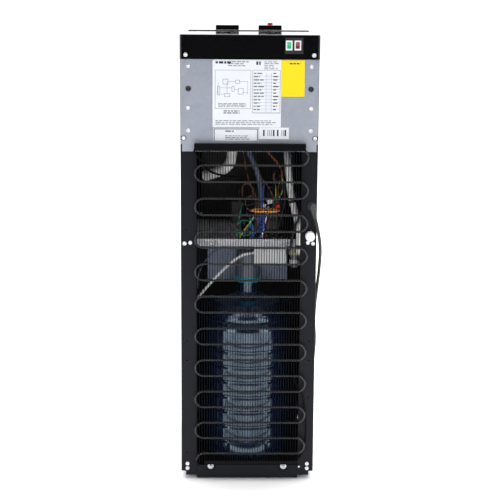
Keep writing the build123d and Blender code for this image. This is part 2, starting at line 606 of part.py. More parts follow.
def refrigerant_lines():
    # Three diameters: the body, its spun ends and its stubs.
    drier = rod((-62, DRIER_Y, 641), (1, 0, 0), 6.5, 50)
    drier += rod((-66, DRIER_Y, 641), (1, 0, 0), 4.0, 60)
    drier += rod((-70, DRIER_Y, 641), (1, 0, 0), 2.6, 66)
    keep("filter_drier", drier)

    # Liquid line: foot of the coil, along the base, up the right flange, in to the drier.
    end_x = COIL_LEFT + 16
    foot = pass_height(PASSES - 1) - 16
    liquid = tube([(end_x, COIL_Y, foot - 0.1), (end_x, COIL_Y, foot - 14), (end_x - 10, 150, 37),
                   (end_x - 34, 144, 34)], TUBE_R)
    lane = 161.5
    riser = tube([(-98, 140, 34), (-109, 150, 38), (-115, lane, 46), (-127, lane, 60),
                  (-136, lane, 90), (-137, lane, 130), (-132, lane, 190), (-125, lane, 216),
                  (-114, lane, 228), (-108, 146, 240), (-107, 140, 268)], 2.0)
    # Discharge line: compressor to the left end of the coil's first pass.
    x, y = COMPRESSOR
    discharge = tube([(COIL_LEFT + 12.1, COIL_Y, FIRST_PASS), (COIL_LEFT + 21, COIL_Y, FIRST_PASS),
                      (COIL_LEFT + 21, lane, 774), (COIL_LEFT + 8, lane, 764), (104, 146, 748),
                      (86, 120, 724), (50, 90, 712), (22, 62, 706)], TUBE_R)
    # Suction line: a loop over the compressor and up to the evaporator.
    suction = tube([(x - 30, y + 10, 697.5), (x - 30, y + 12, 712), (x - 22, y + 28, 726),
                    (x - 10, y + 41, 722), (x - 8, y + 45, 708), (x - 18, y + 47, 699),
                    (x - 29, y + 45, 706), (x - 30, y + 42, 724), (x - 18, y + 40, 746),
                    (x + 20, y + 40, 786)], 3.0)
    # Capillary: from the drier up to the evaporator.
    capillary = tube([(-3.6, DRIER_Y, 641), (6, DRIER_Y, 645), (9, DRIER_Y - 2, 662), (-2, 130, 676),
                      (-14, 126, 668), (-6, 118, 690), (8, 112, 730), (14, 104, 780)], 1.1)
    keep("refrigerant_lines", liquid, riser, discharge, suction, capillary)


# ---- water circuit ------------------------------------------------------------------------------
COLD_TANK = (62.0, 52.0)
HOT_TANK = (-82.0, 52.0)


def tank(x, y, radius, bottom, top, crown):
    body = rod((x, y, bottom), (0, 0, 1), radius, top - bottom)
    return fillet(body.edges().filter_by(GeomType.CIRCLE), crown)


def tanks():
    x, y = COLD_TANK
    cold = tank(x, y, 60, 806, 975, 14) + rod((x - 24, y + 30, 792), (0, 0, 1), 6, 22)
    keep("cold_tank", cold)
    turns = 7
    pitch = 13.0
    helix = Helix(pitch=pitch, height=pitch * turns, radius=66.0)
    coil = sweep(Plane(origin=helix @ 0, z_dir=helix % 0) * Circle(4.0), path=helix)
    keep("evaporator_coil", Pos(x, y, 836) * coil)
    x, y = HOT_TANK
    hot = tank(x, y, 48, 806, 960, 12) + rod((x - 6, y + 20, 792), (0, 0, 1), 6, 22)
    keep("hot_tank", hot)
    band = ring((x, y, 840), (0, 0, 1), 50.5, 48.2, 40)
    band += block((x - 14, x + 14), (y + 49, y + 62), (848, 872))
    stats = [rod((x + 30 * i, y + 49.5, 910), (0, 1, 0), 8, 9) for i in (-0.4, 0.4)]
    keep("tank_heater", band, *[s - rod((x, y, 900), (0, 0, 1), 48.3, 40) for s in stats])


PUMP = (-108.0, 122.0)


def pump_and_box():
    x, y = PUMP
    motor = rod((x, y, 506), (0, 0, 1), 12.0, 30)
    motor += rod((x, y, 503), (0, 0, 1), 3.0, 4)
    head = block((x - 14, x + 14), (y - 13, y + 13), (536.2, 550))
    head += rod((x - 6, y + 12, 543), (0, 1, 0), 3.0, 12) + rod((x + 6, y + 12, 543), (0, 1, 0), 3.0, 12)
    head = fillet(head.edges().filter_by(Axis.Z).group_by(Axis.Y)[0], 4)
    strap = ring((x, y, 514), (0, 0, 1), 13.6, 12.2, 10)
    strap += block((x - 17.5, x - 13), (y - 5, y + 5), (514, SHELF - 0.2))
    strap += block((x - 17.5, x - 2), (y - 5, y + 5), (SHELF - 1.8, SHELF - 0.2))
    strap -= rod((x, y, 500), (0, 0, 1), 12.2, 36)
    keep("pump", motor, head, strap)
    case = block((-86.0, -12.5), (112.0, 149.0), (516.0, SHELF - 0.4))
    case = fillet(case.edges().filter_by(Axis.Z), 2)
    lid = block((-85.0, -13.5), (149.2, 151.0), (517.0, SHELF - 1.5))
    keep("control_box", case, lid)


def hoses():
    x, y = HOT_TANK
    drain = tube([(x - 6, y + 20, 791.9), (x - 6, y + 20, 768), (-90, 104, 752), (-91, 114, 724),
                  (-95, 118, 684), (-105, 121, 640), (-114, 120, 610),
                  (DRAIN[0], 118, DRAIN[1]), (DRAIN[0], 144.2, DRAIN[1])], 8.6)
    # The pump's outlet joins it over the shelf's lip.
    branch = tube([(-108, 122, 630), (-111, 140, 624), (-112.4, 154, 610), (-112.5, 157.2, 592),
                   (-112.5, 157.0, 566), (-113.4, 155, 553), (-114, 149.2, 545)], 4.6)
    keep("drain_hose", drain + branch)
    fitting = rod((DRAIN[0], 144.3, DRAIN[1]), (0, 1, 0), DRAIN_R, 27)
    fitting += rod((DRAIN[0], 150, DRAIN[1]), (0, 1, 0), 10.5, 6.7)
    fitting -= rod((DRAIN[0], 175, DRAIN[1]), (0, -1, 0), 4.0, 40)
    keep("drain_fitting", fitting)
    cap = rod((DRAIN[0], 161.5, DRAIN[1]), (0, 1, 0), 10.6, 16.5)
    cap = fillet(cap.edges().group_by(Axis.Y)[-1], 2.5)
    cap -= rod((DRAIN[0], 161, DRAIN[1]), (0, 1, 0), DRAIN_R + 0.1, 11)
    cap -= rod((DRAIN[0], 177.0, DRAIN[1]), (0, 1, 0), 2.2, 3)
    keep("drain_cap", cap)
    x, y = COLD_TANK
    feed = tube([(x - 24, y + 30, 791.9), (x - 24, y + 30, 760), (46, 84, 734),
                 (74, 78, 718), (104, 66, 708)], 12.5)
    lift = tube([(6, 104, 800), (2, 107, 772), (-10, 113, 750), (-20, 118, 724), (-27, 121, 690),
                 (-30, 123, 640), (-18, 126, 602), (-4, 124, 574), (-4, 118, 548),
                 (-3, 90, 540), (-1, 48, 545), (0, 0, 546), (0, 0, 528.1)], 5.5)
    keep("water_hoses", feed, lift)
    wrap = tube([(-12.3, 130, 540), (2, 131, 539), (22, 132, 531), (48, 133, 511), (76, 134, 482),
                 (102, 134, 452), (124, 134, 424), (135, 132, 386), (138, 130, 320),
                 (139, 130, 250), (138, 130, 180), (139, 130, 110), (139, 128, 60),
                 (132, 120, 34)], 3.4)
    keep("corrugated_hose", wrap)


def harness():
    """Internal leads between the terminals, the shelf and the control box."""
    green = tube([(12.5, 108, 652), (24, 128, 640), (34, 136, 618), (30, 138, 594), (12, 138, 582),
                  (-2, 138, 596), (-6, 134, 616), (8, 124, 628), (13, 112, 640)], 1.2)
    blue = tube([(-42, 134, 634), (-36, 138, 606), (-24, 141, 586), (-8, 143, 588),
                 (4, 143, 606), (0, 139, 626)], 1.6)
    earth = tube([(-60, 122, 706), (-62, 127, 684), (-58, 128, 664), (-44, 126, 654)], 1.2)
    keep("wire_harness", green, blue, earth)


# ---- power cord ------------------------------------------------------------------------------------
CORD_R = 3.7
COIL_CENTRE = (-96.0, -236.0)
COIL_OUTER = 47.2
COIL_INNER = 31.8
FLOOR_GAP = 0.3
PLUG_OFFSET = 44.0
CORD_ROUTE = [
    (-149.8, 168.7, 629.0), (-156.6, 171.4, 602.8), (-163.8, 158.0, 560.0), (-164.4, 132.0, 512.0),
    (-162.6, 100.0, 458.0), (-159.6, 72.0, 404.0), (-158.8, 58.0, 354.0), (-162.4, 56.0, 306.0),
    (-158.9, 50.0, 256.0), (-158.7, 36.0, 190.0), (-159.2, 26.0, 124.0), (-161.0, 12.0, 64.0),
    (-163.0, -12.0, 21.0), (-164.0, -48.0, 4.6), (-165.5, -92.0, 4.2), (-164.0, -140.0, 4.0),
    (-156.0, -184.0, 4.0), (-147.0, -212.0, 4.1), (-147.0, -238.0, 4.0),
]


def power_cord():
    x, z = GLAND
    boot = rod((x, BACK + 0.2, z), (0, 1, 0), 10.0, 3.0)
    boot += rod((x, BACK + 1, z), (0, -1, 0), GLAND_R, 8)
    down = Vector(*CORD_ROUTE[0]) - Vector(x, BACK + 8, z)
    boot += rod((x, BACK + 2, z), (0, 1, 0), 7.0, 6)
    boot += Pos(x, BACK + 8, z) * Sphere(7.0)
    axis = Plane(origin=(x, BACK + 8, z), z_dir=down)
    taper = axis * Cone(6.8, 4.6, down.length, align=(Align.CENTER, Align.CENTER, Align.MIN))
    keep("strain_relief", boot + taper)
    start = Vector(*CORD_ROUTE[0]) + down.normalized() * 0.05
    keep("power_cord", tube([tuple(start)] + CORD_ROUTE[1:], CORD_R))
    cx, cy = COIL_CENTRE
    coil = ring((cx, cy, FLOOR_GAP), (0, 0, 1), COIL_OUTER, COIL_INNER, 2 * 2 * CORD_R + 0.3)
    keep("cord_coil", coil)
    # The plug lies beside the coil, in line with the turn that leaves it.
    x0 = cx + PLUG_OFFSET
    y = cy - (COIL_OUTER - CORD_R)
    body = block((x0, x0 + 28), (y - 13, y + 13), (FLOOR_GAP, 21.0))
    body = fillet(body.edges().filter_by(Axis.X), 5)
    blades = [block((x0 + 27.5, x0 + 43), (y + s * 6.35 - 0.75, y + s * 6.35 + 0.75), (8.5, 14.8))
              for s in (-1, 1)]
    pin = rod((x0 + 27.5, y, 4.6), (1, 0, 0), 2.4, 16.5)
    keep("plug", body + blades[0] + blades[1] + pin)


# ---- feet ---------------------------------------------------------------------------------------------
def feet():
    def foot(x, y):
        pad = rod((x, y, 0), (0, 0, 1), 15, 7)
        pad = chamfer(pad.edges().group_by(Axis.Z)[-1], 2)
        return pad + rod((x, y, 6), (0, 0, 1), 4.0, 30)
    keep("foot_front_left", foot(-120, -120))
    keep("foot_front_right", foot(120, -120))
    keep("foot_rear_left", foot(-120, 120))
    keep("foot_rear_right", foot(120, 120))


def build():
    screws()
    cabinet()
    rear_panel()
    top_cover()
    keys()
    switches()
    front()
    taps()
    tray()
    door()
    bottle()
    condenser()
    condenser_bars()
    compressor()
    refrigerant_lines()
    tanks()
    pump_and_box()
    hoses()
    harness()
    power_cord()
    feet()
    for name, shape in PARTS.items():
        export_step(shape, f"parts/{name}.step")
    print(len(PARTS), "nodes")


build()
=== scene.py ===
import json
import math
import random

import bmesh
import bpy
from mathutils import Matrix, Vector
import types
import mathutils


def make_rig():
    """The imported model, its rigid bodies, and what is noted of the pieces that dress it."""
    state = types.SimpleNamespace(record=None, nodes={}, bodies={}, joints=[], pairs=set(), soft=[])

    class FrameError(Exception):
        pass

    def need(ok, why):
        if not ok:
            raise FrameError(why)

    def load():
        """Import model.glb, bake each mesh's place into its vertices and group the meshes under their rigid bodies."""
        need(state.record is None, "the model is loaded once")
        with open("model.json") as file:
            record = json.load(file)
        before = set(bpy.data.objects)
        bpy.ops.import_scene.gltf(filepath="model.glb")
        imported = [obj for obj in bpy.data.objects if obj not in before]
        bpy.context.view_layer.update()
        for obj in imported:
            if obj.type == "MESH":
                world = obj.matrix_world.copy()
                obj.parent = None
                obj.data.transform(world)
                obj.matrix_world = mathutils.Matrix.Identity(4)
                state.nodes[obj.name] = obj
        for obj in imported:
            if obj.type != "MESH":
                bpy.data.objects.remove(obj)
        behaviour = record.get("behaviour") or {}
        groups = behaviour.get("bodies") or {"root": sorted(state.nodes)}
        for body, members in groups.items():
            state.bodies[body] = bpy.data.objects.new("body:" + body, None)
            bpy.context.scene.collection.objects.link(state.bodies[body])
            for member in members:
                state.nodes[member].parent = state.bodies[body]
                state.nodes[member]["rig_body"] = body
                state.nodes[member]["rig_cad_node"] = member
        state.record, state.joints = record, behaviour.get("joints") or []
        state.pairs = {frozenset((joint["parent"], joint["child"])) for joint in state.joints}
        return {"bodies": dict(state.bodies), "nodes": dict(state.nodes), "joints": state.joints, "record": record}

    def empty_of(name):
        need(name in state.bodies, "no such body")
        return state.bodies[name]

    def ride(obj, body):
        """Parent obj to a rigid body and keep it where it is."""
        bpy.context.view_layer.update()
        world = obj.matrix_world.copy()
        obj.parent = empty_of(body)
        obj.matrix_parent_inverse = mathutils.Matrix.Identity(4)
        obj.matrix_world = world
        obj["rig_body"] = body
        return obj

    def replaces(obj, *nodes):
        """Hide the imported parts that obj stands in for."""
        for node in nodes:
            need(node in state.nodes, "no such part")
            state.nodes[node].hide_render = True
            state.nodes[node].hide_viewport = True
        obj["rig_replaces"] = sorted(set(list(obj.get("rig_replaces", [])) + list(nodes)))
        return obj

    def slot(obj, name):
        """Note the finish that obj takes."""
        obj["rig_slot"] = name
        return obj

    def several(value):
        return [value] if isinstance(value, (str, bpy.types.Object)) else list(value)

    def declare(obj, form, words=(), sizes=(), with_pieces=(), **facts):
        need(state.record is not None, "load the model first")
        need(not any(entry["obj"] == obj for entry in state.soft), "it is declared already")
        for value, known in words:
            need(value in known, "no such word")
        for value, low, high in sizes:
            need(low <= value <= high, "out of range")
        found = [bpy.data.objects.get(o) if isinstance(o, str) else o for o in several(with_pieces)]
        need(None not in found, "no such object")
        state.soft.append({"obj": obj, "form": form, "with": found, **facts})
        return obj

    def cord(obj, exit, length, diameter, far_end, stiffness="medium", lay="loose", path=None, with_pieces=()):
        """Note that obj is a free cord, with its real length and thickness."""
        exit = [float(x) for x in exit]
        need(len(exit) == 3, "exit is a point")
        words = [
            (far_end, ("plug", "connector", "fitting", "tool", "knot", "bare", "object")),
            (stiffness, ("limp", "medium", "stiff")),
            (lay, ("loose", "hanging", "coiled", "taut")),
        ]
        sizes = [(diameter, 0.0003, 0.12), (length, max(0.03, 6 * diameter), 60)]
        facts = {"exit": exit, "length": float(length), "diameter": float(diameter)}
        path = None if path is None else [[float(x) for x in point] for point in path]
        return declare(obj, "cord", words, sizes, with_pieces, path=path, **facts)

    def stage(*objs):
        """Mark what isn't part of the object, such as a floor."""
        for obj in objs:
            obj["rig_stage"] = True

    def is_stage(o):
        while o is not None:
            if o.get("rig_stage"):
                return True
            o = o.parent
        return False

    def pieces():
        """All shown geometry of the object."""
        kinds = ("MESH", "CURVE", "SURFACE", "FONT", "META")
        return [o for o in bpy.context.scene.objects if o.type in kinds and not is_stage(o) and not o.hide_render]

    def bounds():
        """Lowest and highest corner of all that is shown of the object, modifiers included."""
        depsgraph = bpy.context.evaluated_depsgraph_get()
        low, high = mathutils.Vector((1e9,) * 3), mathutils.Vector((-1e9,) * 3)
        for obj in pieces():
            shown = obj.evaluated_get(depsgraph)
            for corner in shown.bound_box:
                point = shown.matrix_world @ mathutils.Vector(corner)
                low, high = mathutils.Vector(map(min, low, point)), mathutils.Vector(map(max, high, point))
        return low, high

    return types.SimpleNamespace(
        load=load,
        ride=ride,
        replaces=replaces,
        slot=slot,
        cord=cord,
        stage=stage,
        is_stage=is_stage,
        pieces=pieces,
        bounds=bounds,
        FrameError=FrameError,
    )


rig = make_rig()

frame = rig.load()
CAD_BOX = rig.bounds()
NODES = frame["nodes"]
MM = 0.001


# ---- camera: the back of the machine, a little above its middle --------------------------
def look(position, heading, pitch, roll, lens, shift_y):
    """A camera that faces -Y, turned by heading about Z and tipped down by pitch."""
    forward = Vector((-math.sin(heading) * math.cos(pitch),
                      -math.cos(heading) * math.cos(pitch), -math.sin(pitch)))
    right = forward.cross(Vector((0, 0, 1))).normalized()
    up = right.cross(forward)
    tilted = math.cos(roll) * right + math.sin(roll) * up
    upright = -math.sin(roll) * right + math.cos(roll) * up
    data = bpy.data.cameras.new("camera")
    data.lens = lens
    data.sensor_width = 36.0
    data.shift_y = shift_y
    camera = bpy.data.objects.new("camera", data)
    axes = Matrix((tilted, upright, -forward)).transposed()
    camera.matrix_world = Matrix.Translation(position) @ axes.to_4x4()
    bpy.context.scene.collection.objects.link(camera)
    bpy.context.scene.camera = camera


CAMERA_AT = Vector((0.02588, 2.44565, 1.1075))
look(CAMERA_AT, heading=0.0121, pitch=0.1565, roll=0.0068, lens=74.23, shift_y=-0.1677)


# ---- mesh helpers -------------------------------------------------------------------------
def add(name, data, body="cabinet", slot=None):
    """A new object that moves with a body."""
    obj = bpy.data.objects.new(name, data)
    bpy.context.scene.collection.objects.link(obj)
    if body:
        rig.ride(obj, body)
    if slot:
        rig.slot(obj, slot)
    return obj


def mesh_from(bm, name, smooth=True):
    data = bpy.data.meshes.new(name)
    bmesh.ops.recalc_face_normals(bm, faces=bm.faces)
    bm.to_mesh(data)
    bm.free()
    for p in data.polygons:
        p.use_smooth = smooth
    return data


def soft_edges(obj, width, segments=3, angle=35):
    """Rounds the sharp edges and keeps flat faces flat."""
    bevel = obj.modifiers.new("bevel", "BEVEL")
    bevel.width = width
    bevel.segments = segments
    bevel.limit_method = "ANGLE"
    bevel.angle_limit = math.radians(angle)
    bevel.harden_normals = True
    return obj


def add_box(bm, lo, hi):
    """A box between two corners, in millimetres."""
    corners = [(x, y, z) for x in (lo[0], hi[0]) for y in (lo[1], hi[1]) for z in (lo[2], hi[2])]
    v = [bm.verts.new(Vector(c) * MM) for c in corners]
    for face in ((0, 1, 3, 2), (4, 6, 7, 5), (0, 4, 5, 1), (2, 3, 7, 6), (0, 2, 6, 4), (1, 5, 7, 3)):
        bm.faces.new([v[i] for i in face])


def spline_curve(name, points, radius=None, resolution=6, bevel=4):
    """A NURBS curve through millimetre control points, round if a radius is given."""
    data = bpy.data.curves.new(name, "CURVE")
    data.dimensions = "3D"
    line = data.splines.new("NURBS")
    line.points.add(len(points) - 1)
    for point, at in zip(line.points, points):
        point.co = (*(Vector(at) * MM), 1.0)
    line.order_u = 3
    line.use_endpoint_u = True
    line.resolution_u = resolution
    if radius:
        data.bevel_depth = radius * MM
        data.bevel_resolution = bevel
        data.use_fill_caps = True
    return data


def mesh_of(curve):
    """The mesh of a curve, which isn't kept."""
    holder = bpy.data.objects.new("route", curve)
    mesh = bpy.data.meshes.new_from_object(holder)
    bpy.data.objects.remove(holder)
    bpy.data.curves.remove(curve)
    return mesh


def centreline(points, resolution=12):
    """Points along the NURBS curve of a route, in metres."""
    mesh = mesh_of(spline_curve("route", points, resolution=resolution))
    line = [v.co.copy() for v in mesh.vertices]
    bpy.data.meshes.remove(mesh)
    return line


def even_steps(line, step):
    """The same line with its points a set distance apart."""
    out = [line[0]]
    left = step
    for a, b in zip(line, line[1:]):
        run = (b - a).length
        done = 0.0
        while run - done >= left:
            done += left
            out.append(a.lerp(b, done / run))
            left = step
        left -= run - done
    return out


def swept(name, line, radius_at, sides=16):
    """A closed tube along metre points whose radius (metres) depends on the point's number."""
    bm = bmesh.new()
    side = None
    rings = []
    for i, p in enumerate(line):
        ahead = (line[min(i + 1, len(line) - 1)] - line[max(i - 1, 0)]).normalized()
        if side is None:
            side = ahead.orthogonal().normalized()
        side = (side - ahead * side.dot(ahead)).normalized()
        other = ahead.cross(side)
        r = radius_at(i)
        rings.append([bm.verts.new(p + r * (math.cos(a) * side + math.sin(a) * other))
                      for a in (2 * math.pi * k / sides for k in range(sides))])
    for one, two in zip(rings, rings[1:]):
        for k in range(sides):
            n = (k + 1) % sides
            bm.faces.new((one[k], one[n], two[n], two[k]))
    bm.faces.new(list(reversed(rings[0])))
    bm.faces.new(rings[-1])
    return mesh_from(bm, name)


# ---- the power cord -------------------------------------------------------------------------
CORD_R = 3.7
COIL_CENTRE = (-96.0, -236.0)
COIL_OUTER = 47.2
COIL_INNER = 31.8
PLUG_OFFSET = 44.0
CORD_LENGTH = 1.95
CORD_ROUTE = [
    (-149.8, 168.7, 629.0), (-156.6, 171.4, 602.8), (-163.8, 158.0, 560.0), (-164.4, 132.0, 512.0),
    (-162.6, 100.0, 458.0), (-159.6, 72.0, 404.0), (-158.8, 58.0, 354.0), (-162.4, 56.0, 306.0),
    (-158.9, 50.0, 256.0), (-158.7, 36.0, 190.0), (-159.2, 26.0, 124.0), (-161.0, 12.0, 64.0),
    (-163.0, -12.0, 21.0), (-164.0, -48.0, 4.6), (-165.5, -92.0, 4.2), (-164.0, -140.0, 4.0),
    (-156.0, -184.0, 4.0), (-144.0, -212.0, 4.1),
]


def coil_points():
    """Four turns, two abreast in two layers: inwards on the floor, then back out on top."""
    cx, cy = COIL_CENTRE
    outer = COIL_OUTER - CORD_R - 0.1
    inner = COIL_INNER + CORD_R + 0.1
    low = CORD_R + 0.4
    high = low + 2 * CORD_R + 0.05
    per_turn = 14
    turns = 4.25
    count = round(per_turn * turns)

    def moved(t, start):
        """How far a change that starts at one turn has gone half a turn later, 0 to 1."""
        return min(max((t - start) / 0.5, 0), 1)

    points = []
    for i in range(1, count + 1):
        t = i / per_turn
        angle = math.pi + 2 * math.pi * t
        upwards = moved(t, 1.85)
        r = outer + (inner - outer) * (moved(t, 0.75) - moved(t, 2.75))
        # Control points stand a little outside the round line that they make.
        r /= math.cos(math.pi / per_turn) ** 0.5
        z = low + (high - low) * upwards
        points.append((cx + r * math.cos(angle), cy + r * math.sin(angle), z))
    return points


def coil_tie():
    """A flat strap round the coil's turns, with its tail folded flat on top."""
    cx, cy = COIL_CENTRE
    low, high = 0.06, 4 * CORD_R + 1.1
    inner, outer = COIL_INNER - 0.6, COIL_OUTER + 0.6
    bm = bmesh.new()
    wide = (cy - 3.0, cy + 3.0)
    add_box(bm, (cx - outer, wide[0], low), (cx - inner, wide[1], low + 0.3))
    add_box(bm, (cx - outer, wide[0], high - 0.5), (cx - inner, wide[1], high + 0.2))
    for x in (cx - outer, cx - inner - 0.7):
        add_box(bm, (x, wide[0], low), (x + 0.7, wide[1], high))
    add_box(bm, (cx - outer + 3, wide[0] + 0.5, high), (cx - inner - 2, wide[1] - 0.5, high + 0.9))
    tie = add("cord_tie", mesh_from(bm, "cord_tie", False), slot="rubber_black")
    return wear(soft_edges(tie, 0.0002, 2), "matte_black")


def power_cord():
    """One tube from the gland to the plug: the hanging run, the coil and a short lead."""
    cx, cy = COIL_CENTRE
    plug_line = cy - (COIL_OUTER - CORD_R)
    lead_in = [(cx + 22, plug_line, 11.4), (cx + PLUG_OFFSET + 1, plug_line, 10.7)]
    points = CORD_ROUTE + coil_points() + lead_in
    skin = mesh_of(spline_curve("supply_cord", points, CORD_R, bevel=6, resolution=8))
    skin.name = "supply_cord"
    for p in skin.polygons:
        p.use_smooth = True
    cord = add("supply_cord", skin, slot="rubber_black")
    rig.replaces(cord, "power_cord", "cord_coil")
    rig.cord(cord, exit=Vector(CORD_ROUTE[0]) * MM, length=CORD_LENGTH, diameter=2 * CORD_R * MM,
            far_end="plug", stiffness="medium", lay="coiled", path=centreline(points),
            with_pieces=[NODES["plug"], coil_tie()])
    return cord


# ---- materials -------------------------------------------------------------------------------
def shade(*rgb):
    """A linear colour from screen values of 0 to 255."""
    return tuple(((c / 255 + 0.055) / 1.055) ** 2.4 if c > 10 else c / 255 / 12.92 for c in rgb) + (1.0,)


def scaled(colour, factor):
    return tuple(min(c * factor, 1.0) for c in colour[:3]) + (1.0,)


class Finish:
    """A procedural material: colour mottle, uneven gloss and fine relief, all in object space."""

    def __init__(self, name, colour, rough, metal=0.0):
        self.mat = bpy.data.materials.new(name)
        self.mat.use_nodes = True
        self.tree = self.mat.node_tree
        self.shader = self.tree.nodes["Principled BSDF"]
        self.colour = colour
        self.shader.inputs["Base Color"].default_value = colour
        self.shader.inputs["Roughness"].default_value = rough
        self.shader.inputs["Metallic"].default_value = metal
        self.height = None
        self.place = self.node("ShaderNodeTexCoord").outputs["Object"]

    def node(self, kind):
        return self.tree.nodes.new(kind)

    def link(self, a, b):
        self.tree.links.new(a, b)

    def stretched(self, scale):
        mapping = self.node("ShaderNodeMapping")
        mapping.inputs["Scale"].default_value = scale
        self.link(self.place, mapping.inputs["Vector"])
        return mapping.outputs["Vector"]

    def noise(self, scale, detail=3.0, stretch=(1, 1, 1)):
        texture = self.node("ShaderNodeTexNoise")
        texture.inputs["Scale"].default_value = scale
        texture.inputs["Detail"].default_value = detail
        self.link(self.stretched(stretch), texture.inputs["Vector"])
        return texture.outputs["Fac"]

    def mottle(self, scale, spread, detail=3.0, stretch=(1, 1, 1), source=None):
        """Colour that drifts between a darker and a lighter shade."""
        ramp = self.node("ShaderNodeValToRGB")
        ramp.color_ramp.elements[0].position = 0.3
        ramp.color_ramp.elements[1].position = 0.7
        ramp.color_ramp.elements[0].color = scaled(self.colour, 1 - spread)
        ramp.color_ramp.elements[1].color = scaled(self.colour, 1 + spread)
        self.link(source or self.noise(scale, detail, stretch), ramp.inputs["Fac"])
        self.link(ramp.outputs["Color"], self.shader.inputs["Base Color"])
        return self

    def uneven(self, scale, low, high, stretch=(1, 1, 1)):
        """Roughness that drifts between two values."""
        spread = self.node("ShaderNodeMapRange")
        spread.inputs["From Min"].default_value = 0.3
        spread.inputs["From Max"].default_value = 0.7
        spread.inputs["To Min"].default_value = low
        spread.inputs["To Max"].default_value = high
        self.link(self.noise(scale, 2.0, stretch), spread.inputs["Value"])
        self.link(spread.outputs["Result"], self.shader.inputs["Roughness"])
        return self

    def relief(self, scale, strength, depth=0.0002, stretch=(1, 1, 1)):
        """Fine bump, laid over any relief made before."""
        bump = self.node("ShaderNodeBump")
        bump.inputs["Strength"].default_value = strength
        bump.inputs["Distance"].default_value = depth
        self.link(self.noise(scale, 2.0, stretch), bump.inputs["Height"])
        if self.height:
            self.link(self.height, bump.inputs["Normal"])
        self.height = bump.outputs["Normal"]
        self.link(self.height, self.shader.inputs["Normal"])
        return self

    def cells(self, scale):
        texture = self.node("ShaderNodeTexVoronoi")
        texture.inputs["Scale"].default_value = scale
        self.link(self.place, texture.inputs["Vector"])
        return texture

    def set(self, **values):
        for key, value in values.items():
            self.shader.inputs[key.replace("_", " ")].default_value = value
        return self


def powder_coat(name, colour, rough=0.42, gloss=0.2):
    made = Finish(name, colour, rough).set(Specular_IOR_Level=gloss)
    return made.mottle(6, 0.04).uneven(12, rough - 0.03, rough + 0.03).relief(1400, 0.2, 0.00006)


def moulded(name, colour, rough=0.45, grain=1800, depth=0.00006):
    made = Finish(name, colour, rough)
    return made.mottle(14, 0.05).uneven(30, rough - 0.05, rough + 0.05).relief(grain, 0.3, depth)


def polished(name, colour, rough=0.08):
    made = Finish(name, colour, rough).set(Coat_Weight=0.5, Coat_Roughness=0.04)
    return made.mottle(9, 0.06).uneven(25, rough * 0.7, rough * 1.5).relief(40, 0.06, 0.0001)


def brushed(name, colour, rough=0.3, along=(1, 1, 60)):
    made = Finish(name, colour, rough, metal=1.0)
    made.mottle(30, 0.07, stretch=along).uneven(45, rough - 0.07, rough + 0.07, along)
    return made.relief(90, 0.18, 0.00006, along)


def zinc(name, colour, rough=0.3):
    made = Finish(name, colour, rough, metal=1.0)
    return made.mottle(300, 0.1).uneven(220, rough - 0.08, rough + 0.1).relief(900, 0.15, 0.00005)


def galvanised(name, colour, rough=0.42, metal=0.55):
    """Zinc-dipped sheet: faint crystals, each a slightly different grey."""
    made = Finish(name, colour, rough, metal)
    crystal = made.cells(160)
    grey = made.node("ShaderNodeRGBToBW")
    made.link(crystal.outputs["Color"], grey.inputs["Color"])
    made.mottle(0, 0.025, source=grey.outputs["Val"])
    made.uneven(60, rough - 0.03, rough + 0.03)
    return made.relief(220, 0.03, 0.00006)


def soft_foam(name, colour):
    made = Finish(name, colour, 0.85)
    return made.mottle(70, 0.10, detail=5).relief(380, 0.6, 0.0004).relief(60, 0.3, 0.0010)


def silicone(name, colour, rough=0.35):
    made = Finish(name, colour, rough).set(Subsurface_Weight=0.15, Subsurface_Radius=(0.004, 0.003, 0.003))
    return made.mottle(40, 0.06).uneven(60, rough - 0.08, rough + 0.1).relief(500, 0.12, 0.0001)


def paper(name, colour):
    made = Finish(name, colour, 0.5).set(Specular_IOR_Level=0.35)
    return made.mottle(25, 0.02).relief(1800, 0.2, 0.00004)


def copper(name, colour, rough=0.32):
    made = Finish(name, colour, rough, metal=1.0)
    return made.mottle(60, 0.22, detail=4).uneven(90, rough - 0.1, rough + 0.12).relief(500, 0.1, 0.00005)


